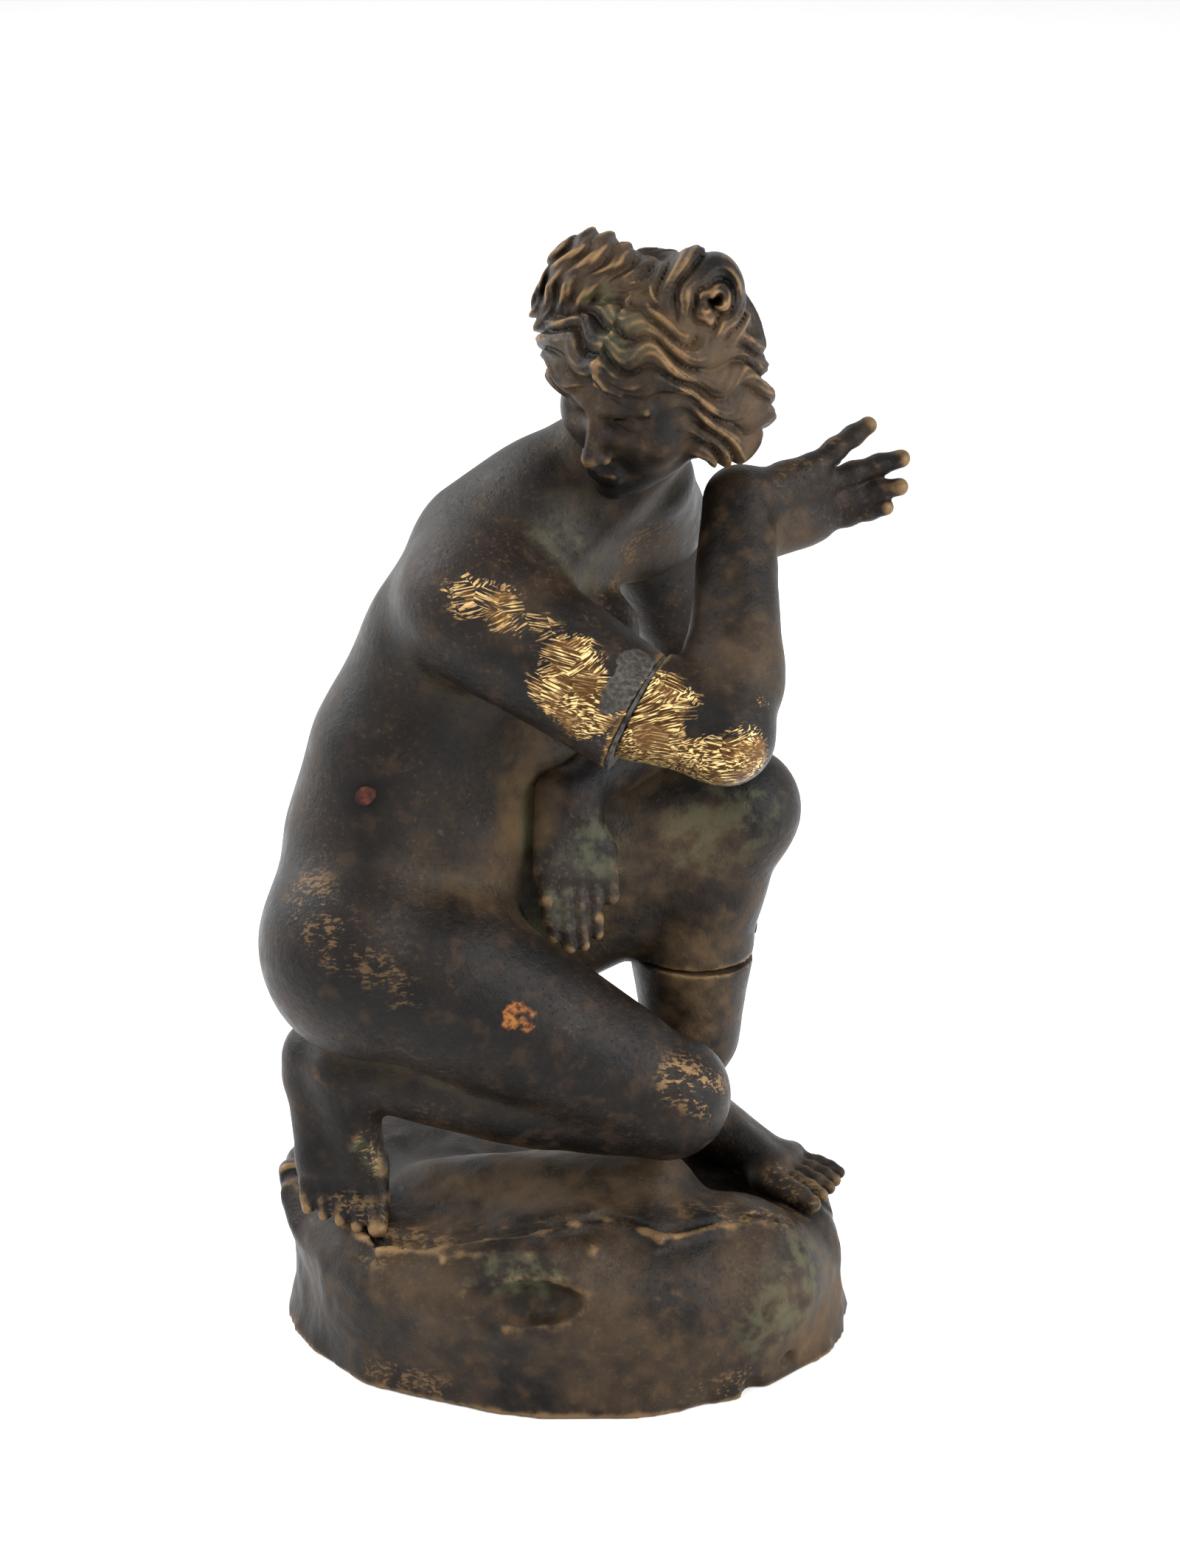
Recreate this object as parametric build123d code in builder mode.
from build123d import *

import math
import os

# Bronze statuette of a crouching bather on a rocky oval base, as its founder cast and assembled it.
#
# The figure crouches over its right knee with the left knee raised, and looks down over its right
# shoulder. The right arm crosses the chest, its elbow over the left knee, with the hand thrown out
# past the head, and the left hand lies in the lap. The trunk with both thighs, the right leg and the
# stub of the right arm is one hollow casting. The head, the right forearm, the left arm and the left
# lower leg are castings of their own, each on a round tenon that a cross pin locks. A threaded stud
# in each foot draws the figure down on the base, with a washer and nut inside the hollow.
#
# +X is the side the knees point to, +Y the far side, +Z up, and the underside of the base is Z = 0.
# The finished model is moved so that the middle of its bounding box stands over the origin.
# All sizes are in millimetres.

# Base: a rough oval of rock, hollow and open underneath.
base_length = 86.0  # along X
base_depth = 66.5  # along Y
base_height = 22.5  # to the middle of the top
base_waist = 1.2  # how far the side draws in half way up
base_lean = 2.0  # how far the top's middle stands from the foot's, towards -X
base_turn = -4.0  # degrees that the long axis of the oval is turned from X
base_slope = 3.5  # degrees that the top falls towards +X
base_wall = 3.0
mound_rise = 5.0  # of the rock under the kneeling shin, above the base's top
ledge_radius = 9.0  # of the rounded front edge of the rock
ledge_rise = 3.5  # of its middle above the base's top

# Figure: every landmark below is placed for this stature, and moves with it.
stature = 250.0  # height of the figure if it stood
drawn_stature = 250.0  # the stature that the landmarks are written for
figure_wall = 3.2  # of the hollow trunk and thighs
thigh_radius = 14.2  # at the hip
knee_radius = 9.2
palm_length = 13.0
finger_lengths = [11.5, 12.5, 11.5, 9.5]
toe_lengths = [6.0, 6.5, 7.0, 7.5, 7.5]  # of the right foot, from the little toe

# Tenons and their cross pins.
tenon_radius = 3.2
tenon_length = 7.0
tenon_clearance = 0.1  # all round, and past the tenon's end
ankle_radius = 4.6
pin_radius = 0.8
pin_clearance = 0.02
solder_thickness = 0.5  # of the ring of solder in the seam of the right arm
shin_gap = 1.2  # how far the seam of the left shin stands open at the front

# Studs that hold the feet down.
stud_radius = 1.5
stud_tail = 2.0  # length past the nut
hole_clearance = 0.15  # round the stud, in the base
boss_radius = 5.5
boss_drop = 2.0  # how far a boss hangs below the base's ceiling
washer_radius = 3.6
washer_clearance = 0.6  # round the washer and nut, where the rock's wall would meet them
washer_thickness = 0.6
nut_width = 5.5  # across flats
nut_height = 2.4

# Iron core pins left in the wall of the trunk, flush with its skin.
core_pin_radius = 1.3
core_pin_clearance = 0.02

scale_of_figure = stature / drawn_stature


def at(x, y, z):
    """A landmark of the figure, written from the middle of the base's underside at 22.5 mm of base."""
    drawn_base = 22.5
    return Vector(x, y, z - drawn_base) * scale_of_figure + Vector(0, 0, base_height)


def sized(radius):
    """A radius of the figure at its stature."""
    return radius * scale_of_figure


def between(start, end, share):
    """The point that lies this share of the way from start to end."""
    return start + (end - start) * share


def limb(start, end, start_radius, end_radius, mode=Mode.ADD):
    """A tapered limb with round ends, centred on its two joints."""
    start_radius, end_radius = sized(start_radius), sized(end_radius)
    length = (end - start).length
    tangent = math.degrees(math.acos((start_radius - end_radius) / length))
    with BuildSketch(Plane(origin=start, x_dir=end - start, z_dir=side_of(end - start))) as outline:
        with BuildLine():
            back = CenterArc((0, 0), start_radius, tangent, 180 - tangent)
            front = CenterArc((length, 0), end_radius, 0, tangent)
            Line(back @ 0, front @ 1)
            Line(front @ 0, back @ 1)
        make_face()
    revolve(outline.sketch, axis=Axis(start, end - start), mode=mode)


def side_of(direction):
    """A direction square to the given one."""
    reference = Vector(0, 0, 1) if abs(direction.normalized().Z) < 0.9 else Vector(0, 1, 0)
    return direction.cross(reference)


def stub(start, end, start_radius, end_radius, mode=Mode.ADD):
    """A tapered limb with flat ends, as a seam leaves it."""
    with Locations(Plane(origin=start, z_dir=end - start)):
        Cone(
            sized(start_radius),
            sized(end_radius),
            (end - start).length,
            align=(Align.CENTER, Align.CENTER, Align.MIN),
            mode=mode,
        )


def rod(start, direction, radius, length, mode=Mode.ADD):
    """A round rod or hole from start along direction."""
    with Locations(Plane(origin=start, z_dir=direction)):
        Cylinder(radius, length, align=(Align.CENTER, Align.CENTER, Align.MIN), mode=mode)


def ball(centre, radius, mode=Mode.ADD):
    """A round mass of the figure."""
    with Locations(centre):
        Sphere(sized(radius), mode=mode)


def sawn_limb(start, end, start_radius, end_radius, seam, way):
    """The part of a limb that lies on one side of a seam: the side that way points to."""
    with BuildPart() as sawn:
        limb(start, end, start_radius, end_radius)
        split(bisect_by=Plane(origin=seam, z_dir=way), keep=Keep.TOP)
    return sawn.part


def digits(root, across, along, bend, lengths, spacing, radius):
    """A row of fingers or toes, each of two joints, fanned evenly across the palm or sole."""
    for place, length in enumerate(lengths):
        offset = place - (len(lengths) - 1) / 2
        knuckle = root + across * sized(offset * spacing)
        fan = (along + across * (0.08 * offset)).normalized()
        middle = knuckle + fan * sized(length * 0.5)
        tip = middle + (fan + bend).normalized() * sized(length * 0.5)
        limb(knuckle, middle, radius, radius * 0.92)
        limb(middle, tip, radius * 0.9, radius * 0.72)


# Landmarks of the figure.
right_hip, left_hip = at(-31, -12, 68), at(-19, 11, 68)
right_knee, left_knee = at(14.5, -12, 42.5), at(25.3, 11, 79.5)
right_shin_top = at(11, -12, 41)
right_ankle, right_heel = at(-34, -9, 46), at(-38, -5, 46)
right_shoulder, left_shoulder = at(-14, -12, 121), at(10, 19, 123)
right_elbow, right_wrist = at(23.2, -23.5, 103.8), at(24.5, 0.5, 131)
left_elbow, left_wrist = at(23, 27, 92), at(0, 0, 86.5)
neck_root, neck_top = at(4, 4, 134), at(11, 2, 140.5)
skull = at(11.5, -3, 152.5)
arm_seam = at(9.5, -21.5, 107.6)
arm_axis = (right_elbow - right_shoulder).normalized()
neck_axis = (neck_top - neck_root).normalized()
shoulder_axis = (left_elbow - left_shoulder).normalized()
shoulder_seam = left_shoulder + shoulder_axis * sized(9)
calf = at(20.8, 11, 68)
shin_seam, shin_middle, left_ankle = at(18.8, 11, 56.5), at(18.6, 11, 42), at(18.5, 11, 29.5)
shin_axis = (shin_seam - shin_middle).normalized()
stud_tops = {"left_foot": at(27, 6.5, 26), "right_foot": at(-32, -9.5, 31)}

# The trunk, from seat to shoulders: centre, half breadth, half depth, and the turn of its breadth
# from +X towards +Y in degrees.
trunk_sections = [
    (at(-29, -1, 54), 17.5, 11.5, 62),
    (at(-27.5, 0, 66), 22.0, 16.5, 60),
    (at(-26, 1, 80), 20.0, 16.0, 57),
    (at(-22.5, 2, 94), 17.0, 13.8, 52),
    (at(-16.5, 3, 108), 17.5, 13.2, 47),
    (at(-10, 4, 121), 17.5, 12.6, 44),
    (at(-2.5, 4, 131), 14.5, 10.8, 44),
    (at(4, 4, 137), 8.5, 8.0, 44),
]


def trunk(thinner=0.0, skip_ends=0):
    """Draws the trunk's sections, thinned by a wall, for a loft to join."""
    chosen = trunk_sections[skip_ends : len(trunk_sections) - skip_ends]
    centres = [section[0] for section in chosen]
    for place, (centre, breadth, depth, turn) in enumerate(chosen):
        ahead = centres[min(place + 1, len(chosen) - 1)] - centres[max(place - 1, 0)]
        breadth_way = Vector(math.cos(math.radians(turn)), math.sin(math.radians(turn)), 0)
        breadth_way = breadth_way - ahead.normalized() * breadth_way.dot(ahead.normalized())
        with BuildSketch(Plane(origin=centre, x_dir=breadth_way, z_dir=ahead)) as section:
            Ellipse(sized(breadth) - thinner, sized(depth) - thinner)
        yield section.sketch


# Base: the rock's outside, then its hollow, the bosses and the stud holes.
top_plane = Plane(origin=(-base_lean, 0, base_height)).rotated((0, base_slope, 0))
half_length, half_depth = base_length / 2, base_depth / 2
shin_rest = between(right_shin_top, right_ankle, 0.3)


def oval(plane, inset):
    """An outline of the base on a plane, set in from its foot."""
    with BuildSketch(plane) as outline:
        Ellipse(half_length - inset, half_depth - inset, rotation=base_turn)
    return outline.sketch


with BuildPart() as rock:
    loft([
        oval(Plane.XY, 0),
        oval(Plane(origin=(-base_lean / 2, 0, base_height / 2)), base_waist),
        oval(top_plane, 0),
    ])
    mound_base = base_height - sized(6)
    mound_start = Vector(right_ankle.X + sized(15), shin_rest.Y + sized(6), mound_base + mound_rise / 2)
    mound_end = Vector(right_knee.X - sized(4), shin_rest.Y + sized(4), mound_base + mound_rise)
    limb(mound_start, mound_end, 9, 10)
    ledge_left = Vector(-half_length * 0.6, -half_depth * 0.38, base_height - ledge_radius)
    ledge_middle = Vector(0, -half_depth * 0.62, base_height + ledge_rise - ledge_radius)
    ledge_right = Vector(half_length * 0.55, -half_depth * 0.42, base_height + ledge_rise / 2 - ledge_radius)
    limb(ledge_left, ledge_middle, ledge_radius, ledge_radius)
    limb(ledge_middle, ledge_right, ledge_radius, ledge_radius)

ceiling = top_plane.offset(-base_wall)
slope = math.tan(math.radians(base_slope))
boss_bottom = ceiling.origin.Z - boss_drop - slope * half_length * 0.75

with BuildPart() as hollow:
    loft([
        oval(Plane.XY, base_wall),
        oval(Plane(origin=(-base_lean / 2, 0, (base_height - base_wall) / 2)), base_waist + base_wall),
        oval(ceiling, base_wall),
    ])

with BuildPart() as base:
    add(rock.part)
    add(hollow.part, mode=Mode.SUBTRACT)
    for top in stud_tops.values():
        wall_middle = base_height - base_wall / 2 - (top.X + base_lean) * slope
        rod(Vector(top.X, top.Y, boss_bottom), Vector(0, 0, 1), boss_radius, wall_middle - boss_bottom)
    for top in stud_tops.values():
        rod(Vector(top.X, top.Y, 0), Vector(0, 0, 1), washer_radius + washer_clearance, boss_bottom, Mode.SUBTRACT)
        hole_radius = stud_radius + hole_clearance
        rod(Vector(top.X, top.Y, 0), Vector(0, 0, 1), hole_radius, base_height * 2, Mode.SUBTRACT)

# Trunk casting: the outside of everything in it, before it is cored and drilled.
upper_arm = sawn_limb(right_shoulder, arm_seam + arm_axis * sized(6), 9.8, 8.4, arm_seam, -arm_axis)
shoulder_start = left_shoulder + shoulder_axis * sized(2)
shoulder_stub = sawn_limb(left_elbow, shoulder_start, 4, 7.8, shoulder_seam, -shoulder_axis)
neck_stub = sawn_limb(neck_root, neck_top + neck_axis * sized(4), 8, 7, neck_top, -neck_axis)
shin_stub = sawn_limb(calf, shin_middle, 8.8, 7.6, shin_seam, shin_axis)

toe_across, toe_way = Vector(0.93, -0.37, 0), Vector(0.05, -0.45, -0.9)

with BuildPart() as trunk_solid:
    loft(list(trunk()))
    # Buttocks, belly and chest.
    ball(at(-31.5, -10, 61.5), 13)
    ball(at(-25, 8, 62), 13)
    ball(at(-17, -2, 80), 10)
    ball(at(-5, -9, 112), 6.5)
    ball(at(4.5, 1, 112), 6.8)
    # The lap: the belly's far side, and the flesh under the raised thigh.
    limb(at(-13, 7, 89), at(-5, 10, 87), 8.5, 7.5)
    limb(at(-2, 8, 60.5), at(14, 11, 67), 8.5, 8)
    # Legs.
    limb(right_hip, right_knee, thigh_radius, knee_radius)
    limb(left_hip, left_knee, thigh_radius, knee_radius)
    limb(right_shin_top, between(right_shin_top, right_ankle, 0.45), 8.6, 8.4)
    limb(between(right_shin_top, right_ankle, 0.4), right_ankle, 8.5, 5)
    limb(left_knee, calf, 9, 8.8)
    add(shin_stub)
    # Right foot, which stands on its bent toes.
    limb(right_heel, at(-37, -9, 33), 5.4, 4.2)
    limb(right_ankle, at(-31, -11, 33), 5.6, 4.2)
    limb(at(-37, -8.5, 29.5), at(-30, -10.5, 29.5), 4.5, 4.5)
    digits(at(-34.5, -11, 30.5), toe_across, toe_way, Vector(0, -0.2, -0.1), toe_lengths, 3.1, 1.9)
    # Shoulders, arm stubs and neck.
    limb(right_shoulder, between(right_shoulder, at(0, 4, 126), 0.6), 9.8, 8)
    limb(left_shoulder, between(left_shoulder, at(-2, 5, 124), 0.6), 8.4, 9)
    add(shoulder_stub)
    add(upper_arm)
    add(neck_stub)
    add(rock.part, mode=Mode.SUBTRACT)

# Its core, which leaves the wall. It reaches this share of the way down each thigh.
core_reach = 0.7
drawn_wall = figure_wall / scale_of_figure
core_radius = thigh_radius - drawn_wall
core_end_radius = thigh_radius + (knee_radius - thigh_radius) * core_reach - drawn_wall

with BuildPart() as core:
    loft(list(trunk(figure_wall, 1)))
    limb(right_hip, between(right_hip, right_knee, core_reach), core_radius, core_end_radius)
    limb(left_hip, between(left_hip, left_knee, core_reach), core_radius, core_end_radius)

# Each tenon: where its seam is, the way it points into its socket, and how far its socket reaches.
joints = {
    "neck": (neck_top, -neck_axis, tenon_length + sized(12)),
    "right_arm": (arm_seam, -arm_axis, tenon_length + tenon_clearance),
    "left_shoulder": (shoulder_seam, -shoulder_axis, tenon_length + tenon_clearance),
    "left_shin": (shin_seam, shin_axis, tenon_length + tenon_clearance),
}
pin_ways = {name: side_of(way).normalized() for name, (seam, way, reach) in joints.items()}
pin_reach = sized(12)

core_pins = {
    "thigh_core_pin": (at(-7.3, -22.3, 60.4), Vector(0, 0.88, -0.48)),
    "back_core_pin": (at(-30, -16, 92), Vector(0.45, 0.89, 0)),
}
core_pin_length = sized(10) + figure_wall


def cross_pin(name, radius, mode=Mode.ADD):
    """The cross pin of a tenon, or its hole, half way along the tenon."""
    seam, way, reach = joints[name]
    middle = seam + way * (tenon_length / 2) - pin_ways[name] * pin_reach
    rod(middle, pin_ways[name], radius, 2 * pin_reach, mode)


def core_pin(name, radius, mode=Mode.ADD):
    """An iron core pin, or its hole, from just outside the skin to the hollow."""
    skin, way = core_pins[name]
    rod(skin - way * sized(4), way, radius, core_pin_length, mode)


def stud_hole(name):
    """The hole in a foot that its stud is screwed into."""
    top = stud_tops[name]
    rod(Vector(top.X, top.Y, 0), Vector(0, 0, 1), stud_radius, top.Z, Mode.SUBTRACT)


with BuildPart() as torso:
    add(trunk_solid.part)
    add(core.part, mode=Mode.SUBTRACT)
    for name, (seam, way, reach) in joints.items():
        rod(seam, way, tenon_radius + tenon_clearance, reach, Mode.SUBTRACT)
        cross_pin(name, pin_radius + pin_clearance, Mode.SUBTRACT)
    for name in core_pins:
        core_pin(name, core_pin_radius + core_pin_clearance, Mode.SUBTRACT)
    stud_hole("right_foot")

# Head casting: skull, face and gathered hair, with its own tenon going down into the neck.
face_turn, face_drop, head_roll = 38, 20, -12  # degrees: towards -X, down, and crown towards +X
face_way = Vector(0, -1, 0).rotate(Axis.X, face_drop).rotate(Axis.Z, -face_turn)
level_crown = Vector(0, 0, 1).rotate(Axis.X, face_drop).rotate(Axis.Z, -face_turn)
crown_way = level_crown.rotate(Axis((0, 0, 0), face_way), head_roll)
cheek_way = crown_way.cross(face_way)  # towards the figure's left cheek


def on_head(cheek, face, crown):
    """A point of the head, from the middle of the skull."""
    return skull + cheek_way * sized(cheek) + face_way * sized(face) + crown_way * sized(crown)


def tenon(name):
    """A casting's tenon: rooted in the casting, through the seam and into the socket."""
    seam, way, reach = joints[name]
    rod(seam - way * sized(4), way, tenon_radius, tenon_length + sized(4))
    cross_pin(name, pin_radius + pin_clearance, Mode.SUBTRACT)


nape = on_head(0, -5, -6)
neck_top_part = sawn_limb(neck_top - neck_axis * sized(4), nape, 7.4, 8.5, neck_top, neck_axis)

with BuildPart() as head:
    add(neck_top_part)
    limb(skull, on_head(0, 6.5, -8), 12, 8)
    limb(on_head(0, 8, -8), on_head(0, 8.5, -14.5), 6.4, 3.6)
    limb(on_head(0, 11, 0), on_head(0, 14, -6), 1.3, 2)
    # Hair: the mass swept back over the skull, its thick sides, and the knot of two loops on the crown.
    limb(on_head(0, 3.5, 3), on_head(0, -6, -2), 13, 13.5)
    limb(on_head(11, 3, 0), on_head(9.5, -5, -12), 6.2, 6)
    limb(on_head(-11, 3, 0), on_head(-9.5, -5, -12), 6.2, 6)
    limb(on_head(2, -2, 12), on_head(7.5, -3.5, 14), 5, 6.3)
    limb(on_head(-2, -2, 12), on_head(-8.5, 0, 15.5), 5, 5.8)
    limb(on_head(-9, -1, 13.5), on_head(-12, 2, 5), 5.2, 4.6)
    add(torso.part, mode=Mode.SUBTRACT)
    tenon("neck")

# Right forearm casting: the rest of the upper arm, the elbow, the forearm and the open hand.
hand_way = Vector(0.9, 0.37, 0.2).normalized()
hand_across = Vector(0.25, 0.1, -0.93)
hand_across = (hand_across - hand_way * hand_across.dot(hand_way)).normalized()
hand_root = right_wrist + hand_across * sized(2.8)
arm_start = arm_seam + arm_axis * solder_thickness


def palm(wrist, way, across, spacing, radius):
    """The four bones of a palm, from the wrist to the knuckles. Returns the middle of the knuckles."""
    knuckles = wrist + way * sized(palm_length)
    for place in range(4):
        offset = (place - 1.5) * spacing
        limb(wrist + across * sized(offset * 0.55), knuckles + across * sized(offset), radius * 1.1, radius)
    return knuckles


elbow_part = sawn_limb(arm_seam - arm_axis * sized(6), right_elbow, 9.2, 7.6, arm_start, arm_axis)

with BuildPart() as right_forearm:
    add(elbow_part)
    limb(right_elbow, between(right_elbow, right_wrist, 0.3), 7, 6.9)
    limb(between(right_elbow, right_wrist, 0.3), right_wrist, 6.9, 4.6)
    knuckle_line = palm(hand_root, hand_way, hand_across, 2.9, 2.7)
    digits(knuckle_line, hand_across, hand_way, Vector(0, 0.2, 0.1), finger_lengths, 2.9, 1.9)
    thumb_tip = hand_root + hand_way * sized(14) + Vector(0, 1, 0.3) * sized(5)
    limb(hand_root + hand_way * sized(3), thumb_tip, 2.6, 1.8)
    add(head.part, mode=Mode.SUBTRACT)
    add(torso.part, mode=Mode.SUBTRACT)
    tenon("right_arm")

# Left arm casting: from the shoulder seam down to the hand in the lap.
lap_way = (at(0, -8, 71) - left_wrist).normalized()
lap_across = Vector(0.9, 0.35, 0)
lap_across = (lap_across - lap_way * lap_across.dot(lap_way)).normalized()

with BuildPart() as left_arm:
    stub(shoulder_seam, left_elbow, 6.9, 6.2)
    limb(between(shoulder_seam, left_elbow, 0.8), left_elbow, 6.2, 6)
    limb(left_elbow, left_wrist, 6, 4)
    knuckle_line = palm(left_wrist, lap_way, lap_across, 2.9, 2.4)
    digits(knuckle_line, lap_across, lap_way, Vector(0.1, 0, 0), finger_lengths, 2.9, 1.7)
    add(torso.part, mode=Mode.SUBTRACT)
    add(right_forearm.part, mode=Mode.SUBTRACT)
    tenon("left_shoulder")

# Left lower leg casting: shin and foot. Its seam stands open at the front.
shin_back = shin_seam - Vector(1, 0, 0) * sized(8.3)
shin_face = shin_axis.rotate(Axis.Y, math.degrees(math.atan(shin_gap / sized(16.6))))
foot_way = Vector(0.8, -0.6, 0)
foot_across = Vector(0.6, 0.8, 0)
shin_part = sawn_limb(shin_seam + shin_axis * sized(5), shin_middle, 8.6, 6.4, shin_back, -shin_face)

with BuildPart() as left_lower_leg:
    add(shin_part)
    limb(shin_middle, left_ankle, 6.4, ankle_radius)
    limb(left_ankle + Vector(-1, 2, -2), left_ankle + Vector(3, -1, -3), 4.4, 4.4)
    limb(left_ankle + Vector(1, -1, -1), at(32, 3, 23), 4.6, 3.2)
    limb(left_ankle + Vector(3, 2, -3), at(33, 7, 23), 4, 3)
    digits(at(33, 4.5, 22), foot_across, foot_way, Vector(0, 0, -0.1), [9.5, 9, 8.5, 8, 7], 2.6, 1.9)
    add(rock.part, mode=Mode.SUBTRACT)
    add(torso.part, mode=Mode.SUBTRACT)
    tenon("left_shin")
    stud_hole("left_foot")


def pin_piece(name):
    """The cross pin that locks a tenon, dressed flush with the casting round it."""
    with BuildPart() as piece:
        cross_pin(name, pin_radius)
        add(trunk_solid.part, mode=Mode.INTERSECT)
    return piece.part


def core_pin_piece(name):
    """An iron core pin, dressed flush with the skin."""
    with BuildPart() as piece:
        core_pin(name, core_pin_radius)
        add(trunk_solid.part, mode=Mode.INTERSECT)
    return piece.part


with BuildPart() as right_arm_solder:
    rod(arm_seam, arm_axis, sized(8.9), solder_thickness)
    rod(arm_seam, arm_axis, tenon_radius + tenon_clearance, solder_thickness, Mode.SUBTRACT)


def stud(name):
    """The stud of a foot, from inside the foot to past its nut."""
    top = stud_tops[name]
    bottom = boss_bottom - washer_thickness - nut_height - stud_tail
    with BuildPart() as piece:
        rod(Vector(top.X, top.Y, bottom), Vector(0, 0, 1), stud_radius, top.Z - bottom)
    return piece.part


def washer(name):
    """The washer under a foot's nut, against the boss."""
    start = Vector(stud_tops[name].X, stud_tops[name].Y, boss_bottom - washer_thickness)
    with BuildPart() as piece:
        rod(start, Vector(0, 0, 1), washer_radius, washer_thickness)
        rod(start, Vector(0, 0, 1), stud_radius + hole_clearance, washer_thickness, Mode.SUBTRACT)
    return piece.part


def nut(name):
    """The hexagon nut of a stud."""
    start = Vector(stud_tops[name].X, stud_tops[name].Y, boss_bottom - washer_thickness - nut_height)
    with BuildPart() as piece:
        with BuildSketch(Plane(origin=start)):
            RegularPolygon(nut_width / 2, 6, major_radius=False)
            Circle(stud_radius, mode=Mode.SUBTRACT)
        extrude(amount=nut_height)
    return piece.part


pieces = {
    "base": base.part,
    "torso": torso.part,
    "head": head.part,
    "right_forearm": right_forearm.part,
    "left_arm": left_arm.part,
    "left_lower_leg": left_lower_leg.part,
    "neck_pin": pin_piece("neck"),
    "right_arm_pin": pin_piece("right_arm"),
    "left_shoulder_pin": pin_piece("left_shoulder"),
    "left_shin_pin": pin_piece("left_shin"),
    "right_arm_solder": right_arm_solder.part,
    "thigh_core_pin": core_pin_piece("thigh_core_pin"),
    "back_core_pin": core_pin_piece("back_core_pin"),
    "left_foot_stud": stud("left_foot"),
    "left_foot_washer": washer("left_foot"),
    "left_foot_nut": nut("left_foot"),
    "right_foot_stud": stud("right_foot"),
    "right_foot_washer": washer("right_foot"),
    "right_foot_nut": nut("right_foot"),
}

# Move everything so that the middle of the bounding box stands over the origin, and write it out.
bounds = Compound(list(pieces.values())).bounding_box()
middle = Location((-bounds.center().X, -bounds.center().Y, -bounds.min.Z))
os.makedirs("parts", exist_ok=True)
for name, piece in pieces.items():
    placed = piece.moved(middle)
    placed.label = name
    export_step(placed, f"parts/{name}.step")
